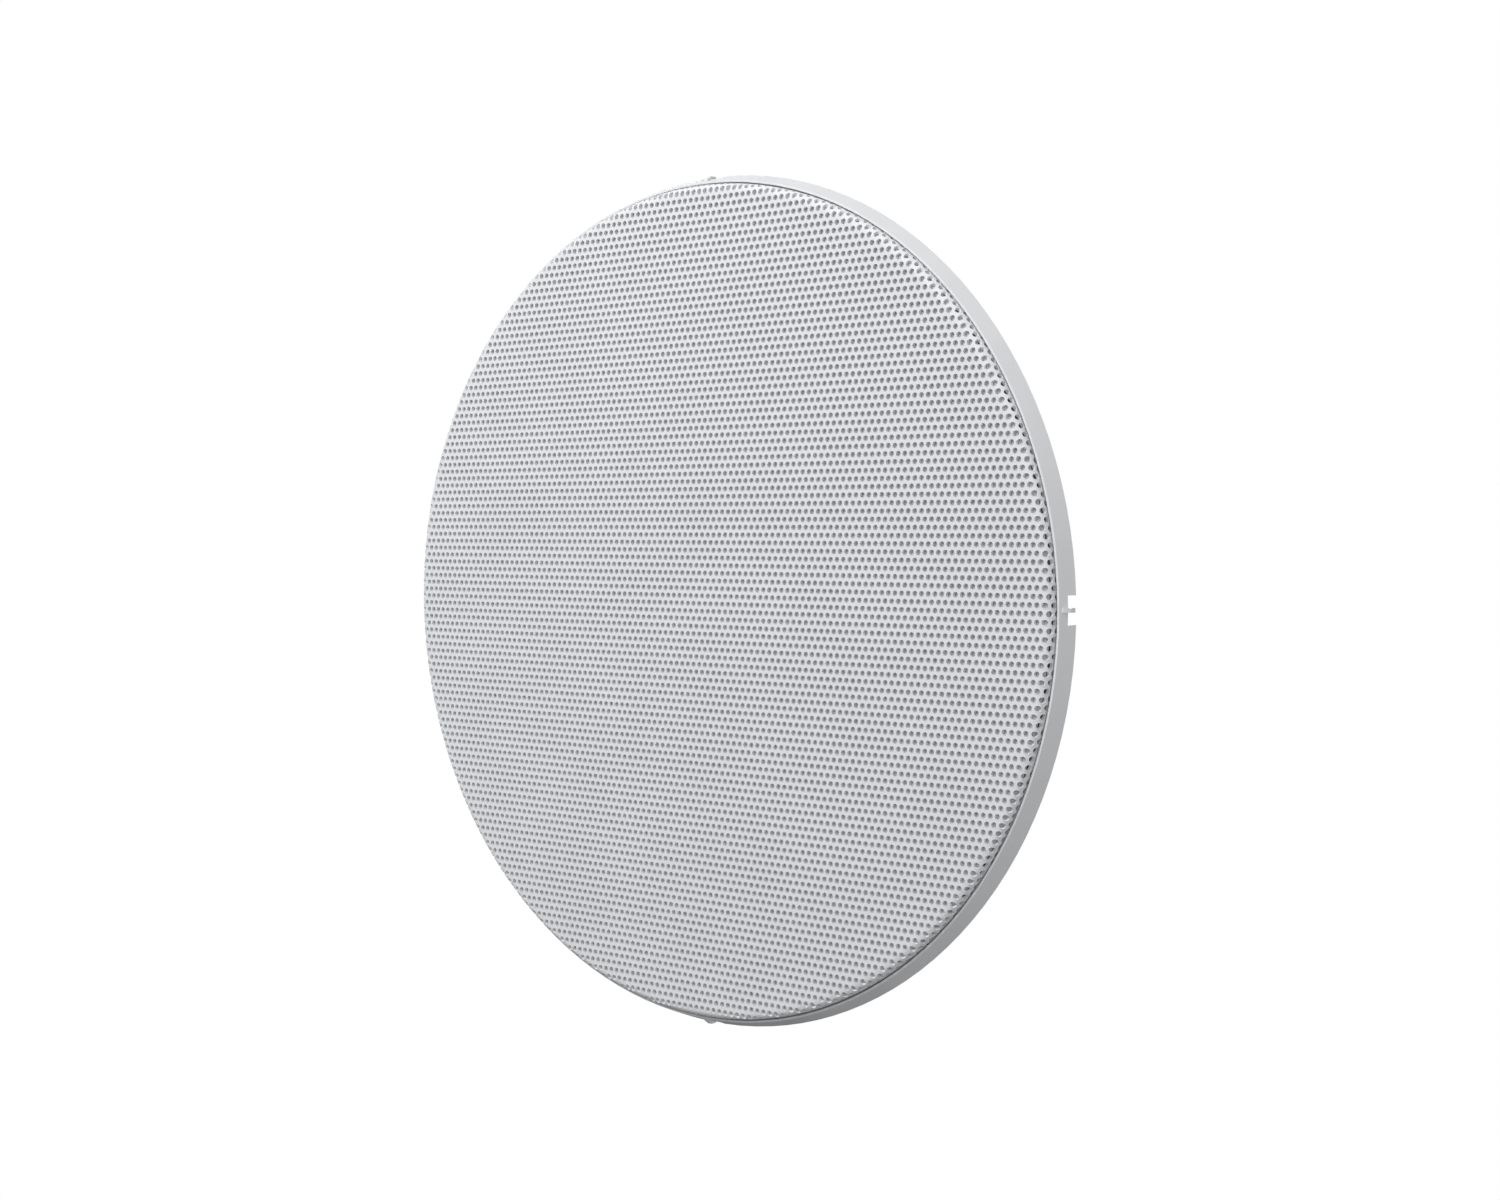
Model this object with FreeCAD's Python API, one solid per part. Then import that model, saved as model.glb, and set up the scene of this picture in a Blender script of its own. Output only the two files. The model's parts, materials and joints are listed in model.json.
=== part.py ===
"""A flush-mounting alarm siren: a round perforated front cover over a driver, its amplifier and a back can.

Millimetres. +Z is up, the front faces -Y and the wall's face is y = 0. Every round piece is turned about Y.
Pieces that repeat round the axis are made at angle 0, on +X, and turned from +X towards +Z.
"""
import FreeCAD, Part
import math
import os

# front cover
COVER_R = 111.8             # trim ring at the wall
COVER_FRONT = -7.07          # front plane of the grille
RIM_FRONT = -4.7             # front edge of the trim ring
RIM_R = 110.05               # trim ring at its front edge
RIM_ROUND = 0.2
LIP_R = 109.5                # inner edge of the trim ring's front lip
SHEET = 0.8                  # grille sheet thickness
GRILLE_R = 109.15
GRILLE_BEND = 2.0
SHELF_FRONT = -3.0           # the trim ring's inward shelf, which carries the grille
SHELF_BACK = -2.0
SHELF_R = 95.0
SKIRT_R = 108.1              # inside of the trim ring, round the mounting plate
NOTCH_HALF = 3.45
NOTCH_DEPTH = 2.25
RIB_HALF = 0.55
RIB_FRONT = -3.9
RIB_PROUD = 0.6              # how far the rib's front stands out from the trim ring's front edge
RIB_ROUND = 0.4
RIB_BACK = -0.4
SCRIM = 0.3
SCRIM_R = 108.2
SCRIM_ROLL = 0.9             # depth of the scrim's edge, rolled back inside the grille's bend
BEND_GAP = 0.05              # between the inside of the bend and what lies in it
FOAM_R = 105.4
CLIP_HALF = 3.0
MAGNET_R = 4.0
MAGNET_AT = 101.0
MAGNET_LENGTH = 1.9
QUARTERS = (0, 90, 180, 270)
DIAGONALS = (45, 135, 225, 315)
CLIP_ANGLES = [22.5 + 45 * step for step in range(8)]

# mounting plate and wall gasket
PLATE_R = 107.5
PLATE_FRONT = -1.9
PLATE_BACK = -0.7
PLATE_OPENING_R = 40.0
FIXING_AT = 90.0
FIXING_R = 2.25
GASKET_R = (80.0, 106.0)

# back can
CAN_R = 60.0
CAN_WALL = 1.5
CAN_IN_R = CAN_R - CAN_WALL
CAN_BACK = 52.0
CAN_FLANGE_R = 70.0
CAN_FLANGE_BACK = 0.8
RIVET_AT = 66.0
RIVET_R = 1.6
RIVET_ANGLES = [60 * step for step in range(6)]
BOSS_R = 3.5
PILOT_R = 1.25
SEAL = 0.4
SEAL_R = 57.5
REAR_COVER = 2.0
REAR_COVER_FRONT = CAN_BACK + SEAL
REAR_COVER_BACK = REAR_COVER_FRONT + REAR_COVER
REAR_BOSS_AT = 54.0
REAR_BOSS_FRONT = 40.0
GROMMET_Z = -22.0
GROMMET_BORE_R = 3.5
GROMMET_NECK_R = 6.0
GROMMET_FLANGE_R = 7.5
GROMMET_FLANGE = 1.5

# swing-out clamps
CLAMP_AT = 66.5
CLAMP_ANGLES = (90, 210, 330)
SCREW_R = 1.75
SCREW_HOLE_R = 1.8
SCREW_HEAD_R = 3.4
SCREW_HEAD = 1.9
SCREW_GAP = 0.1
SCREW_END = 41.5
FOOT_FRONT = 38.0
FOOT_BACK = 40.5
NUT_FRONT = 30.5
NUT_R = 3.0
NUT_LENGTH = 6.0
NUT_FLANGE_R = 4.2
NUT_FLANGE = 0.8
DOG_COLLAR_R = 5.0
DOG_BORE_R = 3.05
DOG_THICK = 5.0
DOG_HALF = 4.0
DOG_REACH = 18.0

# driver
BASKET_R = 46.0
BASKET_FRONT = 0.5
BASKET_SHEET = 1.0
DRIVER_SCREW_AT = 43.0
DRIVER_SCREW_R = 1.45
DRIVER_HOLE_R = 1.5
SURROUND_OUT_R = 40.5
SURROUND_IN_R = 30.5
SURROUND = 0.4
ROLL_AT = 35.0
ROLL_R = 2.7
LEDGE = 13.5                 # the basket's ledge, which carries the spider
TOP_PLATE = (17.0, 20.0)
TOP_PLATE_R = 26.0
GAP_R = 13.3
MAGNET_RING_R = (15.5, 30.0)
MAGNET_RING_BACK = 28.0
YOKE_BACK = 31.0
YOKE_R = 27.0
POLE_R = 12.1
FORMER_R = (12.45, 12.6)
FORMER = (10.2, 22.5)
COIL_R = 12.95
COIL = (16.5, 21.5)
CONE_R = 32.7
CONE_SHEET = 0.5
NECK_R = 12.65
CAP_BASE_R = 12.4
CAP_FRONT = 6.1
CAP_BALL_R = 21.5

# circuit board and what it carries
BOARD_R = 55.5
BOARD_FRONT = 34.0
BOARD_BACK = 35.6
BOARD_SCREW_AT = 52.0
BOARD_HOLE_R = 1.6
SMALL_SCREW_R = 1.2
SMALL_HEAD_R = 2.75
SMALL_HEAD = 1.6
TERMINAL_HALF = 20.0
TERMINAL_PITCH = 5.0
TERMINAL_WAYS = 8
TERMINAL_Z = (-44.0, -34.0)
TERMINAL_BACK = 45.6
CELL_R = 5.2
CELL_HALF = 22.0
CELL_Y = 42.0
CELL_Z = (12.0, 22.5, 33.0)
SELECTOR_AT = (-30.0, -26.0)
TRIMMER_AT = (14.0, -6.0)

# tamper switch
TAMPER_AT = 52.5
TAMPER_ANGLE = 270
TAMPER_BACK = 9.0
TAMPER_BORE_R = 2.0
TAMPER_BORE_BACK = 8.0
PLUNGER_R = 1.2
PLUNGER_HOLE_R = 1.25
PLUNGER_TIP = -5.8
PLUNGER_END = 5.0
COLLAR_R = 1.9
COLLAR = (1.0, 2.0)

ORIGIN = FreeCAD.Vector(0, 0, 0)
ALONG_Y = FreeCAD.Vector(0, 1, 0)


def corner_arc(before, corner, after, radius):
    """The start, middle and end of the fillet at a corner, as (a, b) pairs."""
    to_before = [p - c for p, c in zip(before, corner)]
    to_after = [p - c for p, c in zip(after, corner)]
    before_unit = [d / math.hypot(*to_before) for d in to_before]
    after_unit = [d / math.hypot(*to_after) for d in to_after]
    half = math.acos(sum(p * q for p, q in zip(before_unit, after_unit))) / 2
    back = radius / math.tan(half)
    across = [p + q for p, q in zip(before_unit, after_unit)]
    depth = (radius / math.sin(half) - radius) / math.hypot(*across)
    start = [c + back * d for c, d in zip(corner, before_unit)]
    middle = [c + depth * d for c, d in zip(corner, across)]
    end = [c + back * d for c, d in zip(corner, after_unit)]
    return start, middle, end


def outline(corners, place, closed=True):
    """A wire through (a, b) or (a, b, fillet radius) corners, each put in space by place(a, b)."""
    stretches = []
    last = len(corners) - 1
    for index, corner in enumerate(corners):
        point = corner[:2]
        radius = corner[2] if len(corner) == 3 else 0
        if radius and (closed or 0 < index < last):
            stretches.append(corner_arc(corners[index - 1][:2], point, corners[(index + 1) % (last + 1)][:2], radius))
        else:
            stretches.append((point, None, point))
    edges = []
    for index, (start, middle, end) in enumerate(stretches):
        if middle:
            edges.append(Part.Arc(place(*start), place(*middle), place(*end)).toShape())
        if index == last and not closed:
            break
        follows = stretches[(index + 1) % (last + 1)][0]
        if math.dist(end, follows) > 1e-6:
            edges.append(Part.makeLine(place(*end), place(*follows)))
    return Part.Wire(edges)


def turned(corners):
    """A solid turned about Y from (radius, y) corners."""
    wire = outline(corners, lambda radius, y: FreeCAD.Vector(radius, y, 0))
    return upright(Part.Face(wire).revolve(ORIGIN, ALONG_Y, 360))


def pressed(corners, front, back):
    """A plate of (x, z) corners between two y values."""
    wire = outline(corners, lambda x, z: FreeCAD.Vector(x, front, z))
    return upright(Part.Face(wire).extrude(ALONG_Y * (back - front)))


def upright(solid):
    """The solid with its faces outwards."""
    if solid.Volume < 0:
        solid.reverse()
    return solid


def rod(radius, front, back, x=0.0, z=0.0):
    return Part.makeCylinder(radius, back - front, FreeCAD.Vector(x, front, z), ALONG_Y)


def tube(outer, inner, front, back, x=0.0, z=0.0):
    return rod(outer, front, back, x, z).cut(rod(inner, front - 1, back + 1, x, z))


def block(x, y, z):
    """A box between pairs of x, y and z values."""
    return Part.makeBox(x[1] - x[0], y[1] - y[0], z[1] - z[0], FreeCAD.Vector(x[0], y[0], z[0]))


def at(shape, angle):
    """The shape turned about Y from +X towards +Z."""
    return shape.rotated(ORIGIN, -ALONG_Y, angle)


def ring_of(shape, angles):
    return [at(shape, angle) for angle in angles]


def drill(shape, radius, distance, angles):
    """The shape with holes along Y at a distance from the axis."""
    reach = 200
    return shape.cut(Part.makeCompound(ring_of(rod(radius, -reach, reach, distance), angles)))


def screw(head_front, head_back, head_r, shank_r, shank_end, x):
    """A pan-head screw along Y with a cross recess; its head is between head_front and head_back."""
    front_headed = shank_end > head_front
    face = head_front if front_headed else head_back
    head = rod(head_r, head_front, head_back, x)
    edge = [e for e in head.Edges if all(abs(v.Y - face) < 1e-6 for v in e.Vertexes) and e.Length > head_r]
    head = head.makeFillet((head_back - head_front) * 0.4, edge)
    shank = rod(shank_r, min(head_back, shank_end), max(head_front, shank_end), x)
    recess_half = head_r * 0.55
    recess_y = sorted((face, face + (1 if front_headed else -1) * (head_back - head_front) * 0.6))
    slot_half = 0.3
    recess = block((x - recess_half, x + recess_half), recess_y, (-slot_half, slot_half))
    recess = recess.fuse(block((x - slot_half, x + slot_half), recess_y, (-recess_half, recess_half)))
    return head.fuse(shank).cut(recess).removeSplitter()


def save(name, *solids):
    whole = solids[0] if len(solids) == 1 else Part.makeCompound(list(solids))
    if not whole.isValid() or min(solid.Volume for solid in whole.Solids) <= 0:
        raise ValueError(name + " is not a sound solid")
    whole.exportStep(os.path.join("parts", name + ".step"))


# ---- front cover: it pulls straight off, and four magnets hold it ----

def grille_sheet():
    back = COVER_FRONT + SHEET
    return turned([
        (0, COVER_FRONT), (GRILLE_R, COVER_FRONT, GRILLE_BEND), (GRILLE_R, SHELF_FRONT),
        (GRILLE_R - SHEET, SHELF_FRONT), (GRILLE_R - SHEET, back, GRILLE_BEND - SHEET), (0, back)])


def trim_ring():
    ring = turned([
        (COVER_R, 0), (RIM_R, RIM_FRONT, RIM_ROUND), (LIP_R, RIM_FRONT, RIM_ROUND), (LIP_R, SHELF_FRONT),
        (SHELF_R, SHELF_FRONT), (SHELF_R, SHELF_BACK), (SKIRT_R, SHELF_BACK), (SKIRT_R, 0)])
    notch = block((SKIRT_R - 0.2, COVER_R + 1), (-NOTCH_DEPTH, 1), (-NOTCH_HALF, NOTCH_HALF))
    ring = ring.cut(Part.makeCompound(ring_of(notch, QUARTERS)))
    rib = outline([
        (SKIRT_R, SHELF_BACK - 0.5), (LIP_R + 0.1, RIB_FRONT), (RIM_R + RIB_PROUD, RIB_FRONT, RIB_ROUND),
        (COVER_R, -NOTCH_DEPTH, RIB_ROUND), (COVER_R, RIB_BACK), (SKIRT_R, RIB_BACK)],
        lambda x, y: FreeCAD.Vector(x, y, -RIB_HALF))
    rib = upright(Part.Face(rib).extrude(FreeCAD.Vector(0, 0, 2 * RIB_HALF)))
    ring = ring.fuse(ring_of(rib, QUARTERS)).removeSplitter()
    return drill(ring, MAGNET_R + 0.05, MAGNET_AT, DIAGONALS)


def grille_clip():
    """A folded tab: a foot on the trim ring's shelf and a leg against the grille's flange."""
    slab = 0.7
    foot = block((101.5, GRILLE_R - SHEET - slab / 2), (SHELF_FRONT - slab, SHELF_FRONT), (-CLIP_HALF, CLIP_HALF))
    leg = tube(GRILLE_R - SHEET, GRILLE_R - SHEET - slab, COVER_FRONT + GRILLE_BEND + 0.1, SHELF_FRONT)
    leg = leg.common(block((GRILLE_R / 2, GRILLE_R), (COVER_FRONT, 0), (-CLIP_HALF, CLIP_HALF)))
    return foot.fuse(leg).removeSplitter()


def behind_bend(inner_r, back, depth=0.0):
    """A ring or disc whose front edge is rounded to lie inside the grille's bend; depth makes it a thin shell."""
    front = COVER_FRONT + SHEET
    outer = GRILLE_R - SHEET - BEND_GAP
    bend = GRILLE_BEND - SHEET - BEND_GAP
    if depth:
        return turned([
            (0, front), (outer, front, bend), (outer, back), (outer - depth, back),
            (outer - depth, front + depth, bend - depth), (0, front + depth)])
    return turned([(inner_r, front), (outer, front, bend), (outer, back), (inner_r, back)])


def acoustic_scrim():
    """The cloth behind the grille, rolled back a little inside its bend."""
    shell = behind_bend(0, SHELF_FRONT, SCRIM)
    return shell.common(rod(SCRIM_R, COVER_FRONT, COVER_FRONT + SHEET + SCRIM_ROLL))


def grille_edge_foam():
    """A foam strip inside the grille's bend and flange, behind the scrim's edge and recessed for the clips."""
    recess_back = COVER_FRONT + SHEET + SCRIM_ROLL + BEND_GAP
    foam = behind_bend(FOAM_R, SHELF_FRONT).cut(rod(GRILLE_R, COVER_FRONT, recess_back))
    gap_half = CLIP_HALF + 0.4
    leg_front = COVER_FRONT + GRILLE_BEND
    gap = block((FOAM_R - 1, GRILLE_R), (leg_front, 0), (-gap_half, gap_half))
    return foam.cut(Part.makeCompound(ring_of(gap, CLIP_ANGLES)))


def front_cover():
    save("grille_sheet", grille_sheet())
    save("trim_ring", trim_ring())
    save("acoustic_scrim", acoustic_scrim())
    save("grille_edge_foam", grille_edge_foam())
    save("grille_clips", *ring_of(grille_clip(), CLIP_ANGLES))
    magnet = rod(MAGNET_R, SHELF_BACK - MAGNET_LENGTH, SHELF_BACK, MAGNET_AT)
    save("cover_magnets", *ring_of(magnet, DIAGONALS))


# ---- mounting plate, gaskets and back can ----

def mounting_plate():
    plate = tube(PLATE_R, PLATE_OPENING_R, PLATE_FRONT, PLATE_BACK)
    plate = drill(plate, FIXING_R, FIXING_AT, DIAGONALS)
    plate = drill(plate, DRIVER_HOLE_R, DRIVER_SCREW_AT, QUARTERS)
    plate = drill(plate, RIVET_R, RIVET_AT, RIVET_ANGLES)
    plate = drill(plate, SCREW_HOLE_R, CLAMP_AT, CLAMP_ANGLES)
    return drill(plate, PLUNGER_HOLE_R, TAMPER_AT, (TAMPER_ANGLE,))


def boss(distance, front, back):
    """A screw boss at angle 0 with a web to the can's wall."""
    web_half = 1.5
    web = block((distance, CAN_IN_R + CAN_WALL / 2), (front, back), (-web_half, web_half))
    return rod(BOSS_R, front, back, distance).fuse(web)


def can_flange():
    """The can's flange, which the rivets hold against the plate."""
    flange = turned([
        (CAN_R, PLATE_BACK), (CAN_FLANGE_R, PLATE_BACK), (CAN_FLANGE_R, CAN_FLANGE_BACK, 0.5),
        (CAN_R, CAN_FLANGE_BACK)])
    flange = drill(flange, RIVET_R, RIVET_AT, RIVET_ANGLES)
    return drill(flange, SCREW_HOLE_R, CLAMP_AT, CLAMP_ANGLES)


def can_bosses():
    """The screw bosses along the can's inner wall: four for the board, then four for the rear cover."""
    board_boss = boss(BOARD_SCREW_AT, BOARD_FRONT - 6, BOARD_FRONT)
    board_boss = board_boss.cut(rod(PILOT_R, BOARD_FRONT - 5.2, BOARD_FRONT + 1, BOARD_SCREW_AT))
    rear_boss = boss(REAR_BOSS_AT, REAR_BOSS_FRONT, CAN_BACK)
    rear_boss = rear_boss.cut(rod(PILOT_R, REAR_BOSS_FRONT + 2, CAN_BACK + 1, REAR_BOSS_AT))
    inside = rod(CAN_IN_R, PLATE_BACK, CAN_BACK)
    return [piece.common(inside) for piece in ring_of(board_boss, DIAGONALS) + ring_of(rear_boss, QUARTERS)]


def clamp_feet():
    """Lugs on the can's outer wall, which steady the ends of the clamp screws."""
    foot_half = 5.0
    round_r = 2.0
    foot = pressed([
        (CAN_R - 1, -foot_half), (CLAMP_AT + foot_half, -foot_half, round_r),
        (CLAMP_AT + foot_half, foot_half, round_r), (CAN_R - 1, foot_half)], FOOT_FRONT, FOOT_BACK)
    foot = drill(foot.cut(rod(CAN_R, FOOT_FRONT - 1, FOOT_BACK + 1)), SCREW_HOLE_R, CLAMP_AT, (0,))
    return ring_of(foot, CLAMP_ANGLES)


def can_rivet():
    head_r = 3.2
    head = turned([(0, PLATE_FRONT - 1), (head_r, PLATE_FRONT - 1, 0.6), (head_r, PLATE_FRONT), (0, PLATE_FRONT)])
    shank = rod(RIVET_R, PLATE_FRONT, CAN_FLANGE_BACK)
    tail = rod(head_r * 0.8, CAN_FLANGE_BACK, CAN_FLANGE_BACK + 0.9)
    return head.fuse([shank, tail]).removeSplitter().translated(FreeCAD.Vector(RIVET_AT, 0, 0))


def cable_grommet():
    inner = REAR_COVER_FRONT - GROMMET_FLANGE
    outer = REAR_COVER_BACK + GROMMET_FLANGE
    rounding = 0.5
    grommet = turned([
        (GROMMET_BORE_R, inner), (GROMMET_FLANGE_R, inner, rounding), (GROMMET_FLANGE_R, REAR_COVER_FRONT),
        (GROMMET_NECK_R, REAR_COVER_FRONT), (GROMMET_NECK_R, REAR_COVER_BACK),
        (GROMMET_FLANGE_R, REAR_COVER_BACK), (GROMMET_FLANGE_R, outer, rounding), (GROMMET_BORE_R, outer)])
    return grommet.translated(FreeCAD.Vector(0, 0, GROMMET_Z))


def rear_cover():
    cover = turned([
        (0, REAR_COVER_FRONT), (CAN_R, REAR_COVER_FRONT), (CAN_R, REAR_COVER_BACK, 1.0), (0, REAR_COVER_BACK)])
    cover = drill(cover, BOARD_HOLE_R, REAR_BOSS_AT, QUARTERS)
    return cover.cut(rod(GROMMET_NECK_R, REAR_COVER_FRONT - 1, REAR_COVER_BACK + 1, 0, GROMMET_Z))


def housing():
    save("mounting_plate", mounting_plate())
    wall_gasket = tube(GASKET_R[1], GASKET_R[0], PLATE_BACK, 0)
    save("wall_gasket", drill(wall_gasket, FIXING_R, FIXING_AT, DIAGONALS))
    save("back_can", tube(CAN_R, CAN_IN_R, PLATE_BACK, CAN_BACK))
    save("can_flange", can_flange())
    save("can_bosses", *can_bosses())
    save("clamp_feet", *clamp_feet())
    save("can_rivets", *ring_of(can_rivet(), RIVET_ANGLES))
    save("rear_seal", tube(CAN_R, SEAL_R, CAN_BACK, REAR_COVER_FRONT))
    save("rear_cover", rear_cover())
    rear_screw = screw(REAR_COVER_BACK, REAR_COVER_BACK + SMALL_HEAD, SMALL_HEAD_R, SMALL_SCREW_R,
                       REAR_BOSS_FRONT + 3, REAR_BOSS_AT)
    save("rear_cover_screws", *ring_of(rear_screw, QUARTERS))
    save("cable_grommet", cable_grommet())


# ---- swing-out clamps: each screw draws its nut and dog towards the wall ----

def clamp_screw():
    back = PLATE_FRONT - SCREW_GAP
    return screw(back - SCREW_HEAD, back, SCREW_HEAD_R, SCREW_R, SCREW_END, CLAMP_AT)


def clamp_nut():
    nut_back = NUT_FRONT + NUT_LENGTH
    nut = turned([
        (SCREW_HOLE_R, NUT_FRONT), (NUT_R, NUT_FRONT), (NUT_R, nut_back), (NUT_FLANGE_R, nut_back),
        (NUT_FLANGE_R, nut_back + NUT_FLANGE), (SCREW_HOLE_R, nut_back + NUT_FLANGE)])
    return nut.translated(FreeCAD.Vector(CLAMP_AT, 0, 0))


def clamp_dog():
    """The swinging arm, folded along the can's wall, with teeth on the face that bears on the wall."""
    dog_back = NUT_FRONT + DOG_THICK
    arm = pressed([
        (CLAMP_AT - DOG_HALF, 0), (CLAMP_AT - DOG_HALF, DOG_REACH, 2.0), (CLAMP_AT + DOG_HALF, DOG_REACH, 2.0),
        (CLAMP_AT + DOG_HALF, 0)], NUT_FRONT, dog_back)
    collar = rod(DOG_COLLAR_R, NUT_FRONT, dog_back + 0.7, CLAMP_AT)
    dog = arm.fuse(collar).removeSplitter()
    groove_pitch = 2.4
    for step in range(4):
        middle = DOG_REACH - 2.6 - step * groove_pitch
        groove = block((CLAMP_AT - DOG_HALF - 1, CLAMP_AT + DOG_HALF + 1), (NUT_FRONT - 1, NUT_FRONT + 0.6),
                       (middle - 0.5, middle + 0.5))
        dog = dog.cut(groove)
    return dog.cut(rod(DOG_BORE_R, 0, CAN_BACK, CLAMP_AT))


def clamps():
    for number, angle in enumerate(CLAMP_ANGLES, 1):
        save(f"clamp_screw_{number}", at(clamp_screw(), angle))
        save(f"clamp_nut_{number}", at(clamp_nut(), angle))
        save(f"clamp_dog_{number}", at(clamp_dog(), angle))


# ---- driver ----

def driver_basket():
    neck_r = 23.5
    wall_r = 39.5
    basket = turned([
        (wall_r - BASKET_SHEET, BASKET_FRONT), (wall_r - BASKET_SHEET, 4.5), (27.0, LEDGE),
        (neck_r - BASKET_SHEET, LEDGE), (neck_r - BASKET_SHEET, TOP_PLATE[0] - BASKET_SHEET),
        (15.0, TOP_PLATE[0] - BASKET_SHEET), (15.0, TOP_PLATE[0]), (neck_r, TOP_PLATE[0]),
        (neck_r, LEDGE + BASKET_SHEET), (27.4, LEDGE + BASKET_SHEET), (wall_r, 4.9),
        (wall_r, BASKET_FRONT + BASKET_SHEET), (BASKET_R, BASKET_FRONT + BASKET_SHEET), (BASKET_R, BASKET_FRONT)])
    window = block((29.0, 38.0), (5.2, 12.6), (-13.0, 13.0))
    basket = basket.cut(Part.makeCompound(ring_of(window, QUARTERS)))
    return drill(basket, DRIVER_HOLE_R, DRIVER_SCREW_AT, QUARTERS)


def surround():
    lip_front = BASKET_FRONT - SURROUND
    crown = ROLL_AT + ROLL_R, ROLL_AT - ROLL_R
    roll_front = 0.3 - ROLL_R
    inside = ROLL_R - SURROUND
    return turned([
        (SURROUND_OUT_R, lip_front), (crown[0], lip_front), (crown[0], roll_front, ROLL_R),
        (crown[1], roll_front, ROLL_R), (crown[1], lip_front), (SURROUND_IN_R, lip_front),
        (SURROUND_IN_R, BASKET_FRONT), (ROLL_AT - inside, BASKET_FRONT),
        (ROLL_AT - inside, roll_front + SURROUND, inside), (ROLL_AT + inside, roll_front + SURROUND, inside),
        (ROLL_AT + inside, BASKET_FRONT), (SURROUND_OUT_R, BASKET_FRONT)])


def spider():
    """A corrugated ring between the coil former and the basket's ledge."""
    sheet = 0.4
    inner, flat_r, outer = 12.65, 24.0, 26.5
    waves = 8
    height = 0.9
    step = (flat_r - inner) / waves
    crests = [(inner + step * wave, LEDGE - sheet - (height if wave % 2 else 0)) for wave in range(waves + 1)]
    crests.append((outer, LEDGE - sheet))
    return turned(crests + [(radius, y + sheet) for radius, y in reversed(crests)])


def driver_gasket():
    gasket = turned([
        (38.2, PLATE_BACK), (BASKET_R, PLATE_BACK), (BASKET_R, BASKET_FRONT), (SURROUND_OUT_R, BASKET_FRONT),
        (SURROUND_OUT_R, BASKET_FRONT - SURROUND), (38.2, BASKET_FRONT - SURROUND)])
    return drill(gasket, DRIVER_HOLE_R, DRIVER_SCREW_AT, QUARTERS)


def dust_cap():
    middle = FreeCAD.Vector(0, CAP_FRONT + CAP_BALL_R, 0)
    shell = Part.makeSphere(CAP_BALL_R, middle).cut(Part.makeSphere(CAP_BALL_R - SURROUND, middle))
    return shell.common(rod(CAP_BASE_R, CAP_FRONT - 1, FORMER[0]))


def driver_terminals():
    """An insulating strip on the back of the basket's flange with two solder tags."""
    strip_y = (BASKET_FRONT + BASKET_SHEET, BASKET_FRONT + 2 * BASKET_SHEET + 0.2)
    strip = block((40.0, 45.5), strip_y, (-6.0, 6.0))
    tags = [block((44.5, 45.0), (strip_y[1], 8.0), (side - 1.2, side + 1.2)) for side in (-3, 3)]
    return [at(piece, DIAGONALS[0]) for piece in [strip] + tags]


def speaker_lead(side):
    """One insulated lead from a solder tag to the board, in straight runs joined by tangent arcs."""
    lead_r = 0.6
    bend = 6.0
    route = [(44.1, 6.0), (44.1, 14.0, bend), (40.5, 20.5, bend), (44.1, 27.5, bend), (44.1, BOARD_FRONT)]
    path = outline(route, lambda x, y: FreeCAD.Vector(x - lead_r, y, side), closed=False)
    start = FreeCAD.Vector(route[0][0] - lead_r, route[0][1], side)
    section = Part.Wire([Part.makeCircle(lead_r, start, ALONG_Y)])
    lead = upright(path.makePipeShell([section], True, False))
    print(f"speaker lead {path.Length:.1f} mm long, bend radius {bend}")
    return at(lead, DIAGONALS[0])


def driver():
    save("driver_basket", driver_basket())
    save("driver_gasket", driver_gasket())
    driver_screw = screw(PLATE_FRONT - 1.4, PLATE_FRONT, 2.8, DRIVER_SCREW_R, 4.0, DRIVER_SCREW_AT)
    save("driver_screws", *ring_of(driver_screw, QUARTERS))
    save("surround", surround())
    save("spider", spider())
    save("magnet_top_plate", tube(TOP_PLATE_R, GAP_R, *TOP_PLATE))
    save("ferrite_magnet", tube(MAGNET_RING_R[1], MAGNET_RING_R[0], TOP_PLATE[1], MAGNET_RING_BACK))
    save("magnet_yoke", turned([
        (0, TOP_PLATE[0]), (POLE_R, TOP_PLATE[0], 0.4), (POLE_R, MAGNET_RING_BACK), (YOKE_R, MAGNET_RING_BACK),
        (YOKE_R, YOKE_BACK, 0.6), (0, YOKE_BACK)]))
    save("driver_terminals", *driver_terminals())
    save("speaker_leads", speaker_lead(-3), speaker_lead(3))
    save("diaphragm_cone", turned([
        (CONE_R, BASKET_FRONT), (SURROUND_IN_R, BASKET_FRONT), (NECK_R, FORMER[0]),
        (NECK_R, FORMER[0] + CONE_SHEET * 1.4), (SURROUND_IN_R + 0.3, BASKET_FRONT + CONE_SHEET),
        (CONE_R, BASKET_FRONT + CONE_SHEET)]))
    save("dust_cap", dust_cap())
    save("coil_former", tube(FORMER_R[1], FORMER_R[0], *FORMER))
    save("voice_coil", tube(COIL_R, FORMER_R[1], *COIL))


# ---- circuit board and what it carries ----

def circuit_board():
    board = rod(BOARD_R, BOARD_FRONT, BOARD_BACK)
    board = drill(board, BOARD_HOLE_R, BOARD_SCREW_AT, DIAGONALS)
    board = drill(board, BOSS_R + 0.7, REAR_BOSS_AT, QUARTERS)
    corner = block((REAR_BOSS_AT, BOARD_R + 1), (BOARD_FRONT - 1, BOARD_BACK + 1), (-BOSS_R - 0.7, BOSS_R + 0.7))
    return board.cut(Part.makeCompound(ring_of(corner, QUARTERS)))


def terminal_places():
    first = -TERMINAL_PITCH * (TERMINAL_WAYS - 1) / 2
    return [first + TERMINAL_PITCH * way for way in range(TERMINAL_WAYS)]


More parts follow.
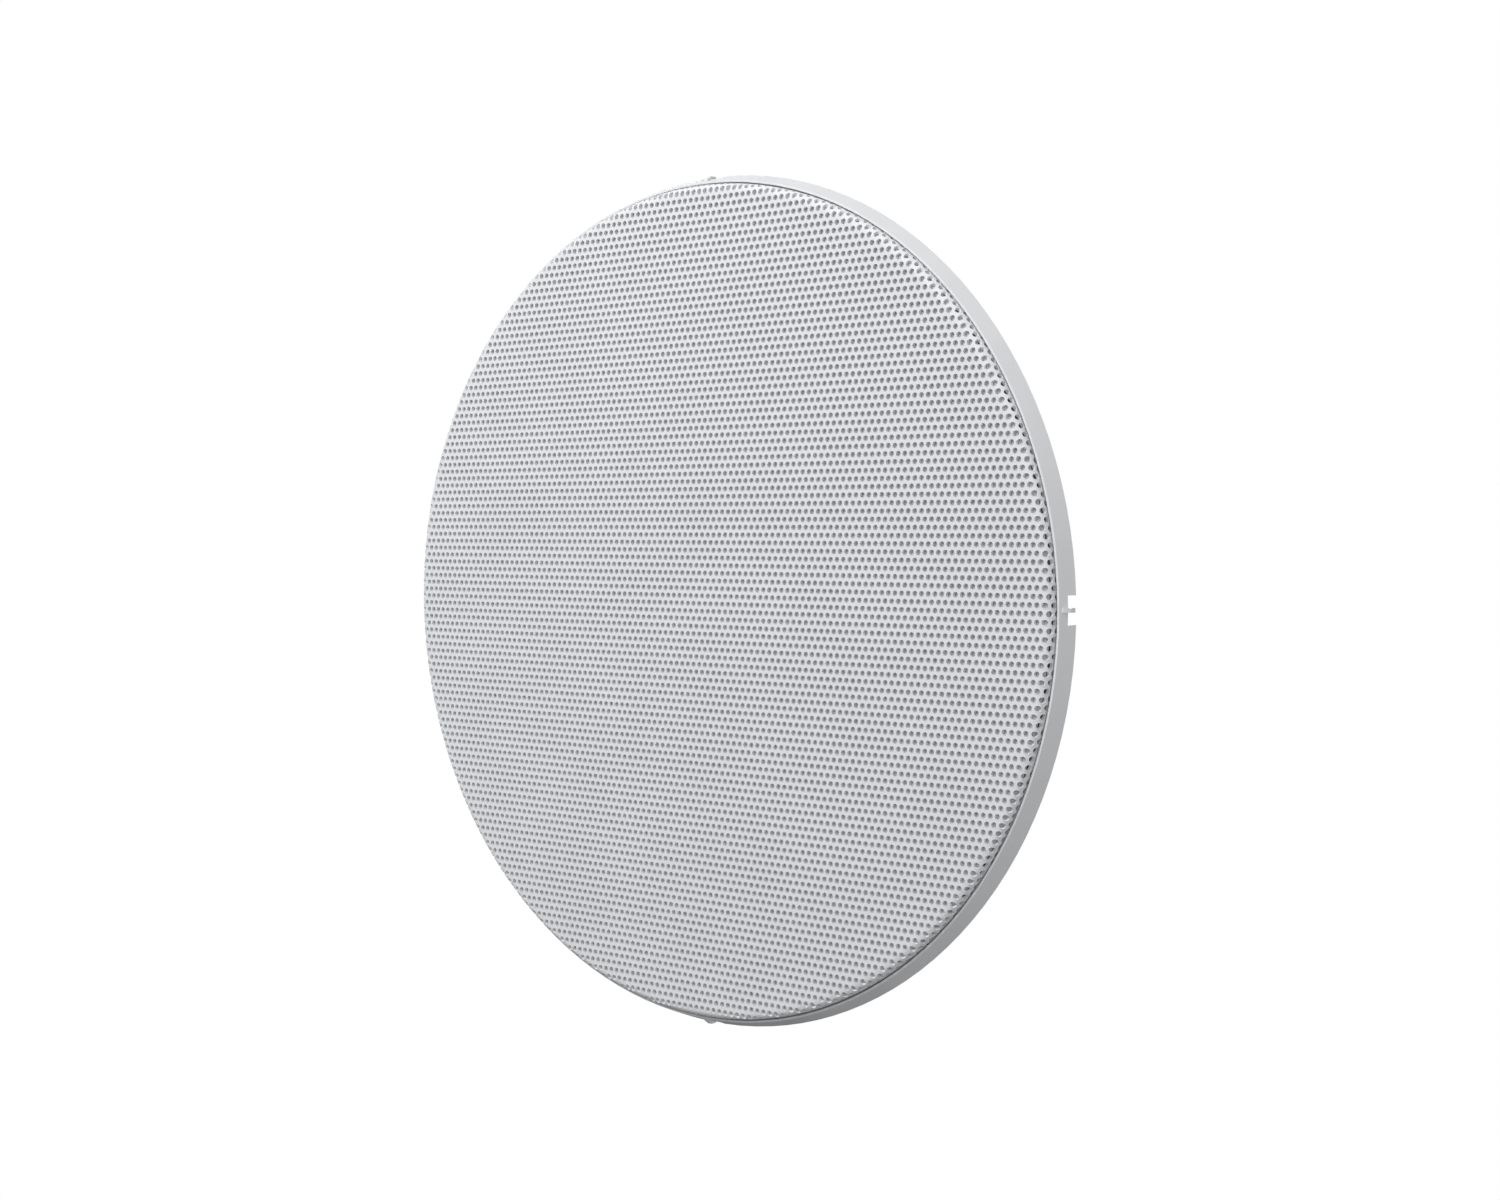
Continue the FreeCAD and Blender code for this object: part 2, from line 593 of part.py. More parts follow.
def terminal_block():
    body = block((-TERMINAL_HALF, TERMINAL_HALF), (BOARD_BACK, TERMINAL_BACK), TERMINAL_Z)
    middle = sum(TERMINAL_Z) / 2
    for x in terminal_places():
        entry = block((x - 1.6, x + 1.6), (BOARD_BACK + 1.5, BOARD_BACK + 5), (TERMINAL_Z[1] - 4, TERMINAL_Z[1] + 1))
        body = body.cut(entry.fuse(rod(1.7, TERMINAL_BACK - 3.5, TERMINAL_BACK + 1, x, middle)))
    return body


def terminal_screw(x):
    middle = sum(TERMINAL_Z) / 2
    screw_back = TERMINAL_BACK - 0.8
    slot = block((x - 2, x + 2), (screw_back - 0.6, screw_back + 1), (middle - 0.25, middle + 0.25))
    return rod(1.5, TERMINAL_BACK - 3.5, screw_back, x, middle).cut(slot)


def battery_holder():
    edge = CELL_R + 0.4
    low, high = CELL_Z[0] - edge, CELL_Z[-1] + edge
    wall = 2.5
    end = CELL_HALF + 0.3
    floor = block((-end - wall, end + wall), (BOARD_BACK, CELL_Y - CELL_R - 0.1), (low, high))
    ends = [block(pair, (BOARD_BACK, CELL_Y + 2), (low, high)) for pair in ((-end - wall, -end), (end, end + wall))]
    return floor.fuse(ends).removeSplitter()


def battery_cell(z):
    """A cylindrical cell along X with its positive button."""
    along_x = FreeCAD.Vector(1, 0, 0)
    button = 1.0
    can = Part.makeCylinder(CELL_R, 2 * CELL_HALF - button, FreeCAD.Vector(-CELL_HALF, CELL_Y, z), along_x)
    can = can.makeFillet(0.4, [edge for edge in can.Edges if len(edge.Vertexes) == 1])
    nub = Part.makeCylinder(1.9, button + 0.5, FreeCAD.Vector(CELL_HALF - button - 0.5, CELL_Y, z), along_x)
    return can.fuse(nub).removeSplitter()


def heat_sink():
    """A finned extrusion with its fins along Z."""
    base = block((28.0, 30.0), (BOARD_BACK, 48.0), (-9.0, 9.0))
    fins = [block((30.0, 41.0), (y, y + 1.2), (-9.0, 9.0)) for y in (36.6, 39.9, 43.2, 46.5)]
    return base.fuse(fins).removeSplitter()


def capacitor(z):
    x, radius, back = -38.0, 5.0, 48.5
    can = rod(radius, BOARD_BACK, back, x, z)
    return can.makeFillet(0.6, [edge for edge in can.Edges if len(edge.Vertexes) == 1])


def boost_inductor():
    x, z = -22.0, -6.0
    drum = turned([
        (0, BOARD_BACK), (6.0, BOARD_BACK), (6.0, BOARD_BACK + 1.4), (3.6, BOARD_BACK + 1.4),
        (3.6, BOARD_BACK + 6.6), (6.0, BOARD_BACK + 6.6), (6.0, BOARD_BACK + 8), (0, BOARD_BACK + 8)])
    winding = tube(5.4, 3.6, BOARD_BACK + 1.4, BOARD_BACK + 6.6)
    return [piece.translated(FreeCAD.Vector(x, 0, z)) for piece in (drum, winding)]


def small_knob(centre, radius, front, back):
    """A round adjuster with a screwdriver slot in its back face."""
    x, z = centre
    knob = rod(radius, front, back, x, z)
    slot = block((x - radius * 0.8, x + radius * 0.8), (back - 0.8, back + 1), (z - 0.35, z + 0.35))
    return knob.cut(slot)


def electronics():
    save("circuit_board", circuit_board())
    board_screw = screw(BOARD_BACK, BOARD_BACK + SMALL_HEAD, SMALL_HEAD_R, SMALL_SCREW_R, BOARD_FRONT - 5,
                        BOARD_SCREW_AT)
    save("board_screws", *ring_of(board_screw, DIAGONALS))
    save("terminal_block", terminal_block())
    save("terminal_screws", *[terminal_screw(x) for x in terminal_places()])
    save("battery_holder", battery_holder())
    save("battery_cells", *[battery_cell(z) for z in CELL_Z])
    save("capacitors", *[capacitor(z) for z in (-13.0, 0.0, 13.0)])
    inductor_core, inductor_winding = boost_inductor()
    save("inductor_core", inductor_core)
    save("inductor_winding", inductor_winding)
    save("amplifier_chip", block((24.0, 28.0), (BOARD_BACK, 46.0), (-5.0, 5.0)))
    save("heat_sink", heat_sink())
    relay = block((24.0, 39.0), (BOARD_BACK, 46.5), (-26.0, -14.0))
    save("relay", relay.makeFillet(0.5, relay.Edges))
    knob_seat = BOARD_BACK + 4
    x, z = SELECTOR_AT
    selector_body = block((x - 5, x + 5), (BOARD_BACK, knob_seat), (z - 5, z + 5))
    save("selector_body", selector_body.cut(rod(3.3, knob_seat - 1.5, knob_seat + 1, x, z)))
    save("selector_knob", small_knob(SELECTOR_AT, 3.25, knob_seat - 1.45, knob_seat + 1.6))
    x, z = TRIMMER_AT
    trimmer_body = block((x - 3.5, x + 3.5), (BOARD_BACK, knob_seat), (z - 3.5, z + 3.5))
    save("trimmer_body", trimmer_body.cut(rod(2.2, knob_seat - 1.5, knob_seat + 1, x, z)))
    save("trimmer_rotor", small_knob(TRIMMER_AT, 2.15, knob_seat - 1.45, knob_seat - 0.1))


# ---- tamper switch, which the cover keeps pressed ----

def tamper_switch():
    body = block((TAMPER_AT - 4.5, TAMPER_AT + 4.5), (PLATE_BACK, TAMPER_BACK), (-5.0, 5.0))
    body = body.cut(rod(TAMPER_BORE_R, PLATE_BACK - 1, TAMPER_BORE_BACK, TAMPER_AT))
    stem = turned([
        (0, PLUNGER_TIP), (PLUNGER_R, PLUNGER_TIP, 0.8), (PLUNGER_R, COLLAR[0]), (COLLAR_R, COLLAR[0]),
        (COLLAR_R, COLLAR[1]), (PLUNGER_R, COLLAR[1]), (PLUNGER_R, PLUNGER_END), (0, PLUNGER_END)])
    spring = tube(1.85, 1.3, COLLAR[1], TAMPER_BORE_BACK, TAMPER_AT)
    save("tamper_switch", at(body, TAMPER_ANGLE))
    save("tamper_plunger", at(stem.translated(FreeCAD.Vector(TAMPER_AT, 0, 0)), TAMPER_ANGLE))
    save("tamper_spring", at(spring, TAMPER_ANGLE))


os.makedirs("parts", exist_ok=True)
front_cover()
housing()
clamps()
driver()
electronics()
tamper_switch()
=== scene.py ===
"""The looks of a flush-mounting alarm siren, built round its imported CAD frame.

Metres, in the CAD frame: +Z up, the perforated front faces -Y, and the wall's face is y = 0.
"""
import json
import math

import bmesh
import bpy
import numpy as np
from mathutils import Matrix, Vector
from mathutils.geometry import delaunay_2d_cdt


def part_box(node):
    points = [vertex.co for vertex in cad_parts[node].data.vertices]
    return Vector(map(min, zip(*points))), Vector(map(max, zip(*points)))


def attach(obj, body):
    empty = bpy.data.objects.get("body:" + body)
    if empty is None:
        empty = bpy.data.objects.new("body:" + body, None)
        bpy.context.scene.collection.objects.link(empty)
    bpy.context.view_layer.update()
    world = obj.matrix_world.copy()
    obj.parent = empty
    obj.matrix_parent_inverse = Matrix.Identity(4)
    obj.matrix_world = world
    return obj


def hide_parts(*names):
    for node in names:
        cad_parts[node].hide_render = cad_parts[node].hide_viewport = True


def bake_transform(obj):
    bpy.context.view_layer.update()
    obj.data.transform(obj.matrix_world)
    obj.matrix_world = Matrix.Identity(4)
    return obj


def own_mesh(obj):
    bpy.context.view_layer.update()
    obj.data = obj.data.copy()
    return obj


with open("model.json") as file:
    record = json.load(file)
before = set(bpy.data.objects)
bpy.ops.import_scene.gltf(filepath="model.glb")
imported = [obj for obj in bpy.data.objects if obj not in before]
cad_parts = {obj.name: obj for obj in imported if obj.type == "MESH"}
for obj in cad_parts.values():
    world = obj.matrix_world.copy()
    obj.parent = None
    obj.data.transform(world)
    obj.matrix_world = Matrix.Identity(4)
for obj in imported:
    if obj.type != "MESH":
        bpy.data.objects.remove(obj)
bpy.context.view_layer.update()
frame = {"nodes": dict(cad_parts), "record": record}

MM = 0.001

# ---- sizes, from the frame ----

GRILLE_LOW, GRILLE_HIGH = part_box("grille_sheet")
SCRIM_LOW, SCRIM_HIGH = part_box("acoustic_scrim")
GRILLE_R = GRILLE_HIGH.x
GRILLE_FRONT = GRILLE_LOW.y
GRILLE_BACK = GRILLE_HIGH.y
SHEET = SCRIM_LOW.y - GRILLE_FRONT
BEND = 2.0 * MM
INNER_BEND = BEND - SHEET - 0.05 * MM    # of the soft parts, just clear of the sheet

# ---- the perforation: staggered rows of round holes, punched in the flat blank ----

PITCH = 2.0 * MM
STEP = PITCH / 2             # the grid that the cell corners lie on
HOLE_R = 0.74 * MM
HOLE_SIDES = 12
FIRST_HOLE = np.array([0.5, -0.84]) * MM
EDGE_MARGIN = 0.2 * MM
ROWS = 60                    # more than enough to each side of the middle
RIM_SIDES = 720

# ---- the clips that hold the sheet in the ring ----

CLIPS = 8
CLIP_EVERY = 360 / CLIPS     # degrees, the first clip half as far from +X
CLIP_HALF = 2.1              # degrees, with the gap beside the clip

# ---- the clamp screws ----

HEAD_HEIGHT = 1.9 * MM
CREST_R = 1.75 * MM
ROOT_R = 1.42 * MM
THREAD_PITCH = 2.0 * MM

# ---- parts that flex ----

CLOTH = 0.4 * MM             # thickness of the surround and of the spider
SECTORS = 24

# ---- light ----

BRIGHT_SIDE = (0.75, -0.36, 0.55)    # where the white room is brightest
BRIGHT = 0.74
KEY = 4.0                    # watts
KEY_AT = (-0.1, -0.62, 0.5)
FILL = 1.9
FILL_FROM = (-0.45, 0.85, 0.2)
FLOOR_AT = -0.16


# ---------------------------------------------------------------- meshes

def new_piece(name, vertices, faces, body, slot, smooth=60):
    """A mesh piece that rides on a body; edges sharper than smooth degrees stay sharp."""
    mesh = bpy.data.meshes.new(name)
    mesh.from_pydata([tuple(v) for v in vertices], [], [tuple(f) for f in faces])
    mesh.update()
    piece = bpy.data.objects.new(name, mesh)
    bpy.context.scene.collection.objects.link(piece)
    mesh.shade_smooth()
    mesh.set_sharp_from_angle(angle=math.radians(smooth))
    mesh.materials.append(FINISHES[slot])
    if body:
        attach(piece, body)
    return piece


def turned(outline, start, end, steps):
    """Vertices and faces of a closed (radius, y) outline turned about Y between two angles."""
    count = len(outline)
    vertices = []
    for column in range(steps + 1):
        angle = start + (end - start) * column / steps
        across, up = math.cos(angle), math.sin(angle)
        vertices += [(radius * across, y, radius * up) for radius, y in outline]
    faces = []
    for column in range(steps):
        here, there = column * count, (column + 1) * count
        for i in range(count):
            follows = (i + 1) % count
            faces.append((here + i, here + follows, there + follows, there + i))
    faces.append(tuple(reversed(range(count))))
    faces.append(tuple(steps * count + i for i in range(count)))
    return vertices, faces


def arc(centre, radius, start, end, steps):
    """(radius, y) points on an arc; angles in degrees from +radius towards +y."""
    angles = [math.radians(start + (end - start) * step / steps) for step in range(steps + 1)]
    return [(centre[0] + radius * math.cos(a), centre[1] + radius * math.sin(a)) for a in angles]


def coil(centre, radius, wire, low, high, turns, steps=32, sides=8):
    """Vertices and faces of a wire wound about Y; half a turn at each end lies flat."""
    flat = 0.45
    vertices = []
    count = int(turns * steps)
    for step in range(count + 1):
        turn = step / steps
        share = min(1.0, max(0.0, (turn - flat) / (turns - 2 * flat)))
        y = low + wire + (high - low - 2 * wire) * share
        angle = 2 * math.pi * turn
        for side in range(sides):
            around = 2 * math.pi * side / sides
            reach = radius + wire * math.cos(around)
            vertices.append((centre[0] + reach * math.cos(angle), y + wire * math.sin(around),
                             centre[1] + reach * math.sin(angle)))
    faces = []
    for step in range(count):
        for side in range(sides):
            follows = (side + 1) % sides
            here, there = step * sides, (step + 1) * sides
            faces.append((here + side, here + follows, there + follows, there + side))
    faces.append(tuple(reversed(range(sides))))
    faces.append(tuple(count * sides + side for side in range(sides)))
    return vertices, faces


# ---------------------------------------------------------------- materials

def set_range(node, *limits):
    """Set a Map Range node's limits: from low, from high, to low, to high."""
    for socket, number in zip(("From Min", "From Max", "To Min", "To Max"), limits):
        node.inputs[socket].default_value = number


class Finish:
    """A material being made: its nodes, its links and its main shader."""

    def __init__(self, name, rough, metal=0.0, **sockets):
        self.material = bpy.data.materials.new(name)
        self.material.use_nodes = True
        self.nodes = self.material.node_tree.nodes
        self.links = self.material.node_tree.links
        self.shader = self.nodes["Principled BSDF"]
        self.shader.inputs["Roughness"].default_value = rough
        self.shader.inputs["Metallic"].default_value = metal
        for socket, value in sockets.items():
            self.shader.inputs[socket.replace("_", " ")].default_value = value

    def texture(self, kind, settings=None, stretch=(1, 1, 1), turn=(0, 0, 0), **inputs):
        """A texture node in the piece's own coordinates, in metres."""
        place = self.nodes.new("ShaderNodeTexCoord")
        mapping = self.nodes.new("ShaderNodeMapping")
        mapping.inputs["Scale"].default_value = stretch
        mapping.inputs["Rotation"].default_value = [math.radians(angle) for angle in turn]
        node = self.nodes.new("ShaderNodeTex" + kind)
        for setting, value in (settings or {}).items():
            setattr(node, setting, value)
        for socket, value in inputs.items():
            node.inputs[socket.replace("_", " ")].default_value = value
        self.links.new(place.outputs["Object"], mapping.inputs["Vector"])
        self.links.new(mapping.outputs["Vector"], node.inputs["Vector"])
        return node

    def noise(self, size, detail=3.0, stretch=(1, 1, 1)):
        """Noise with blotches of about size metres."""
        return self.texture("Noise", stretch=stretch, Scale=1 / size, Detail=detail).outputs["Fac"]

    def bands(self, pitch, axis, warp=0.0):
        """Evenly spaced ridges across an axis, from 0 to 1."""
        settings = {"wave_type": "BANDS", "bands_direction": axis, "wave_profile": "SIN"}
        return self.texture("Wave", settings, Scale=math.pi / 10 / pitch, Distortion=warp,
                            Detail=1.0).outputs["Fac"]

    def rings(self, pitch):
        """Evenly spaced rings about Y, as a lathe leaves them."""
        settings = {"wave_type": "RINGS", "rings_direction": "Y", "wave_profile": "SIN"}
        return self.texture("Wave", settings, Scale=math.pi / 10 / pitch, Distortion=0.4,
                            Detail=2.0).outputs["Fac"]

    def join(self, first, second, operation):
        """Two values brought together by a maths operation."""
        node = self.nodes.new("ShaderNodeMath")
        node.operation = operation
        self.links.new(first, node.inputs[0])
        self.links.new(second, node.inputs[1])
        return node.outputs["Value"]

    def spread(self, value, low, high, start=0.35, end=0.65):
        """The value's range from start to end, spread over low to high."""
        ramp = self.nodes.new("ShaderNodeMapRange")
        set_range(ramp, start, end, low, high)
        self.links.new(value, ramp.inputs["Value"])
        return ramp.outputs["Result"]

    def colour(self, value, dark, light, start=0.3, end=0.7):
        """The base colour, from dark to light as the value goes from start to end."""
        ramp = self.nodes.new("ShaderNodeValToRGB")
        ends = zip(ramp.color_ramp.elements, (start, end), (dark, light))
        for element, place, shade in ends:
            element.position = place
            element.color = [min(1.0, c) for c in shade] + [1]
        self.links.new(value, ramp.inputs["Fac"])
        self.links.new(ramp.outputs["Color"], self.shader.inputs["Base Color"])

    def tint(self, value, colour, change, start=0.3, end=0.7):
        """The base colour, darker and lighter by the share change."""
        dark, light = ([c * share for c in colour] for share in (1 - change, 1 + change))
        self.colour(value, dark, light, start, end)

    def roughness(self, value):
        """Let a value drive the roughness."""
        self.links.new(value, self.shader.inputs["Roughness"])

    def relief(self, *layers):
        """Bumps on top of each other, each a (height, depth in metres) pair."""
        below = None
        for height, depth in layers:
            node = self.nodes.new("ShaderNodeBump")
            node.inputs["Strength"].default_value = 1.0
            node.inputs["Distance"].default_value = depth
            self.links.new(height, node.inputs["Height"])
            if below:
                self.links.new(below, node.inputs["Normal"])
            below = node.outputs["Normal"]
        self.links.new(below, self.shader.inputs["Normal"])


def grained(name, colour, rough, metal=0.0, *, grain, blotch, stretch=(1, 1, 1), **sockets):
    """A moulded, painted or cast surface.

    Grain is its size and depth in mm, and blotch is its size in mm and its share of the colour.
    """
    finish = Finish(name, rough, metal, **sockets)
    broad = finish.noise(blotch[0] * MM, 4)
    finish.tint(broad, colour, blotch[1])
    finish.roughness(finish.spread(broad, rough * 0.88, min(1, rough * 1.12)))
    fine = finish.noise(grain[0] * MM, 3, stretch)
    finish.relief((finish.noise(grain[0] * 8 * MM, 2), grain[1] * MM), (fine, grain[1] * MM))
    return finish.material


def woven(name, colour, pitch, depth, rough=0.9, change=0.25, **sockets):
    """Plain-woven cloth with its threads along X and Z, pitch apart."""
    finish = Finish(name, rough, **sockets)
    weft = finish.bands(pitch, "X", 0.15)
    warp = finish.bands(pitch, "Z", 0.15)
    threads = finish.join(weft, warp, "MULTIPLY")
    # painted shade: the base colour darkens in the gaps between the threads, and the noise adds
    # blotches of uneven tone
    gap_shade_and_tone = finish.join(threads, finish.noise(3 * MM, 3), "MULTIPLY")
    finish.tint(gap_shade_and_tone, colour, change, 0.05, 0.35)
    finish.relief((threads, depth), (finish.noise(pitch / 4, 2), depth / 4))
    return finish.material


def machined(name, colour, rough, pitch, depth=0.004):
    """Metal turned on a lathe, with fine rings about Y."""
    finish = Finish(name, rough, 1.0)
    rings = finish.rings(pitch * MM)
    finish.tint(finish.noise(9 * MM, 4), colour, 0.05)
    finish.roughness(finish.spread(rings, rough * 0.8, rough * 1.2))
    finish.relief((rings, depth * MM), (finish.noise(0.12 * MM, 3), depth * MM))
    return finish.material


def wound(name, colour, pitch):
    """Enamelled wire laid turn on turn along Y."""
    finish = Finish(name, 0.3, 1.0, Coat_Weight=0.6, Coat_Roughness=0.15)
    turns = finish.bands(pitch * MM, "Y", 0.05)
    # painted shade: the base colour darkens to 45 per cent in the grooves between the turns
    finish.colour(turns, [c * 0.45 for c in colour], colour, 0.1, 0.6)
    finish.relief((turns, pitch * 0.35 * MM))
    return finish.material


def zinc_sheet(name, colour):
    """Rolled steel with a bright zinc coat: faint spangle under fine rolling marks."""
    finish = Finish(name, 0.34, 0.9)
    crystals = finish.texture("Voronoi", {"feature": "SMOOTH_F1"}, Scale=1 / (7 * MM))
    spangle = crystals.outputs["Color"]
    uneven = finish.join(spangle, finish.noise(30 * MM, 3), "MULTIPLY")
    finish.tint(uneven, colour, 0.10, 0.1, 0.45)
    rolling = finish.noise(0.25 * MM, 4, (0.04, 1, 1))
    finish.roughness(finish.spread(rolling, 0.27, 0.42))
    finish.relief((spangle, 0.004 * MM), (rolling, 0.006 * MM))
    return finish.material


def foam(name, colour, cell=0.6):
    """Closed-cell foam with its cut cells open."""
    depth = 0.12
    finish = Finish(name, 0.95)
    walls = finish.texture("Voronoi", {"feature": "DISTANCE_TO_EDGE"}, Scale=1 / (cell * MM))
    cells = walls.outputs["Distance"]
    # painted shade: the base colour is darker inside the open cells and lighter on the cell walls
    finish.colour(cells, [c * 1.8 for c in colour], [c * 0.6 for c in colour], 0.02, 0.3)
    finish.relief((finish.noise(6 * MM, 3), depth * MM), (cells, -depth * MM))
    return finish.material


def laminate(name, colour):
    """Solder mask over copper traces in two directions, with plated holes between them."""
    finish = Finish(name, 0.28, Coat_Weight=0.4, Coat_Roughness=0.1)
    layers = []
    for size, turn, offset in ((21.0, 0, 0.37), (14.0, 90, 0.3)):
        brick = finish.texture("Brick", {"offset": offset}, turn=(90, 0, turn),
                               Scale=1 / (size * MM), Mortar_Size=0.018, Mortar_Smooth=0.1,
                               Brick_Width=0.9, Row_Height=0.29)
        routed = finish.spread(finish.noise(size / 2 * MM, 1), 0, 1, 0.49, 0.50)
        layers.append(finish.join(brick.outputs["Fac"], routed, "MULTIPLY"))
    copper = finish.join(*layers, "MAXIMUM")
    holes = finish.texture("Voronoi", {"voronoi_dimensions": "3D"}, Scale=1 / (6 * MM),
                           Randomness=0.8)
    pads = finish.spread(holes.outputs["Distance"], 1, 0, 0.12, 0.14)
    copper = finish.join(copper, pads, "MAXIMUM")
    finish.colour(copper, colour, [c * 1.9 for c in colour], 0.2, 0.8)
    finish.relief((copper, 0.035 * MM), (finish.noise(0.35 * MM, 2), 0.01 * MM))
    return finish.material


def pressed_pulp(name, colour):
    """Paper pulp pressed on a screen, with fibres lying every way."""
    finish = Finish(name, 0.85, Sheen_Weight=0.1)
    upright = finish.noise(0.5 * MM, 5, (1, 1, 0.12))
    level = finish.noise(0.5 * MM, 5, (0.12, 1, 1))
    fibres = finish.join(upright, level, "MAXIMUM")
    finish.tint(fibres, colour, 0.35, 0.45, 0.7)
    finish.relief((finish.noise(4 * MM, 3), 0.03 * MM), (fibres, 0.06 * MM))
    return finish.material


def sleeve(name, colour, band, along):
    """Printed shrink sleeve with one plain band of a second colour, on a part along an axis."""
    finish = Finish(name, 0.25, Coat_Weight=0.5, Coat_Roughness=0.08)
    stripe = finish.bands(24 * MM, along)
    finish.colour(stripe, colour, band, 0.90, 0.92)
    finish.relief((finish.noise(5 * MM, 3), 0.06 * MM), (finish.noise(0.2 * MM, 2), 0.005 * MM))
    return finish.material


FINISHES = {
    "grille_paint": grained(
        "grille_paint", (0.795, 0.805, 0.82), 0.65, grain=(0.22, 0.006), blotch=(18, 0.012),
        Specular_IOR_Level=0.3),
    "ring_moulding": grained(
        "ring_moulding", (0.775, 0.78, 0.79), 0.5, grain=(0.16, 0.006), blotch=(12, 0.015)),
    "scrim_cloth": woven(
        "scrim_cloth", (0.52, 0.53, 0.55), 0.32 * MM, 0.06 * MM, change=0.2, Sheen_Weight=0.2),
    "clip_steel": grained(
        "clip_steel", (0.03, 0.03, 0.032), 0.5, 0.6, grain=(0.3, 0.008), blotch=(4, 0.2)),
    "spring_steel": machined("spring_steel", (0.55, 0.55, 0.56), 0.25, 0.1),
    "magnet_plating": machined("magnet_plating", (0.72, 0.72, 0.70), 0.18, 0.25, 0.002),
    "zinc_plate": zinc_sheet("zinc_plate", (0.62, 0.635, 0.655)),
    # partly painted shade: a dark foam strip whose near-black tone also stands in for the deep
    # shade in the holes at the sheet's edge
    "edge_foam": foam("edge_foam", (0.045, 0.045, 0.048), 0.4),
    "foam_rubber": foam("foam_rubber", (0.022, 0.022, 0.024)),
    "can_moulding": grained(
        "can_moulding", (0.70, 0.70, 0.69), 0.55, grain=(0.45, 0.035), blotch=(30, 0.02)),
    "rivet_aluminium": grained(
        "rivet_aluminium", (0.72, 0.72, 0.73), 0.35, 1.0, grain=(0.3, 0.02), blotch=(3, 0.06)),
    "cover_moulding": grained(
        "cover_moulding", (0.70, 0.70, 0.69), 0.5, grain=(0.5, 0.04), blotch=(30, 0.02)),
    "screw_steel": grained(
        "screw_steel", (0.60, 0.60, 0.60), 0.3, 1.0, grain=(0.15, 0.008), blotch=(2, 0.08)),
    "soft_rubber": grained(
        "soft_rubber", (0.022, 0.022, 0.023), 0.7, grain=(0.35, 0.02), blotch=(8, 0.2)),
    "basket_paint": grained(
        "basket_paint", (0.022, 0.022, 0.025), 0.35, grain=(0.5, 0.03), blotch=(15, 0.15),
        Coat_Weight=0.3),
    "surround_rubber": grained(
        "surround_rubber", (0.016, 0.016, 0.017), 0.42, grain=(0.3, 0.01), blotch=(9, 0.25),
        Sheen_Weight=0.15),
    "spider_cloth": woven("spider_cloth", (0.50, 0.33, 0.12), 0.5 * MM, 0.08 * MM, 0.75),
    "pole_steel": machined("pole_steel", (0.50, 0.50, 0.51), 0.32, 0.3, 0.008),
    "ferrite": grained("ferrite", (0.055, 0.056, 0.06), 0.5, grain=(0.5, 0.02), blotch=(6, 0.2)),
    "terminal_brass": grained(
        "terminal_brass", (0.72, 0.62, 0.40), 0.3, 1.0, grain=(0.2, 0.01), blotch=(3, 0.1)),
    "lead_jacket": grained(
        "lead_jacket", (0.45, 0.02, 0.015), 0.35, grain=(0.4, 0.01), blotch=(10, 0.08)),
    "cone_paper": pressed_pulp("cone_paper", (0.045, 0.045, 0.05)),
    "cap_cloth": woven("cap_cloth", (0.03, 0.03, 0.032), 0.4 * MM, 0.07 * MM, 0.6, Coat_Weight=0.2),
    "former_film": grained(
        "former_film", (0.50, 0.24, 0.05), 0.25, grain=(0.8, 0.01), blotch=(5, 0.1)),
    "copper_wire": wound("copper_wire", (0.75, 0.33, 0.14), 0.22),
    "board_laminate": laminate("board_laminate", (0.008, 0.085, 0.035)),
    "terminal_moulding": grained(
        "terminal_moulding", (0.02, 0.22, 0.06), 0.4, grain=(0.4, 0.02), blotch=(9, 0.06)),
    "black_moulding": grained(
        "black_moulding", (0.018, 0.018, 0.02), 0.45, grain=(0.35, 0.02), blotch=(7, 0.2)),
    "cell_sleeve": sleeve("cell_sleeve", (0.03, 0.14, 0.32), (0.75, 0.75, 0.72), "X"),
    "capacitor_sleeve": sleeve("capacitor_sleeve", (0.015, 0.02, 0.06), (0.45, 0.46, 0.48), "Y"),
    "sink_aluminium": grained(
        "sink_aluminium", (0.05, 0.05, 0.053), 0.42, 0.7, grain=(0.4, 0.02), blotch=(9, 0.1),
        stretch=(1, 1, 0.05)),
    "relay_moulding": grained(
        "relay_moulding", (0.03, 0.12, 0.38), 0.3, grain=(0.5, 0.01), blotch=(12, 0.05)),
    "adjuster_moulding": grained(
        "adjuster_moulding", (0.75, 0.72, 0.64), 0.45, grain=(0.3, 0.01), blotch=(4, 0.05)),
    "trimmer_moulding": grained(
        "trimmer_moulding", (0.02, 0.09, 0.35), 0.4, grain=(0.3, 0.01), blotch=(4, 0.05)),
    "plunger_moulding": grained(
        "plunger_moulding", (0.50, 0.03, 0.02), 0.35, grain=(0.3, 0.01), blotch=(3, 0.05)),
    "nut_brass": machined("nut_brass", (0.70, 0.50, 0.22), 0.28, 0.2),
    "dog_moulding": grained(
        "dog_moulding", (0.04, 0.04, 0.043), 0.5, grain=(0.5, 0.03), blotch=(6, 0.15)),
}


# ---------------------------------------------------------------- the perforated grille

def on_sheet(blank, side):
    """Where points (x, z) of the blank lie on the pressed sheet's outer (1) or inner (-1) face."""
    distance = np.linalg.norm(blank, axis=1)
    outward = blank / np.maximum(distance, 1e-9)[:, None]
    bend_at = GRILLE_R - BEND
    neutral = BEND - SHEET / 2
    turn = np.clip((distance - bend_at) / neutral, 0, math.pi / 2)
    down = np.maximum(distance - bend_at - neutral * math.pi / 2, 0)
    skin = neutral + side * SHEET / 2
    radius = np.minimum(distance, bend_at) + skin * np.sin(turn)
    y = GRILLE_FRONT + BEND - skin * np.cos(turn) + down
    return np.column_stack([outward[:, 0] * radius, y, outward[:, 1] * radius])


def blank_radius():
    """The flat blank's radius: the flat face, the bend's neutral line and the flange."""
    neutral = BEND - SHEET / 2
    return GRILLE_R - BEND + neutral * math.pi / 2 + (GRILLE_BACK - GRILLE_FRONT - BEND)


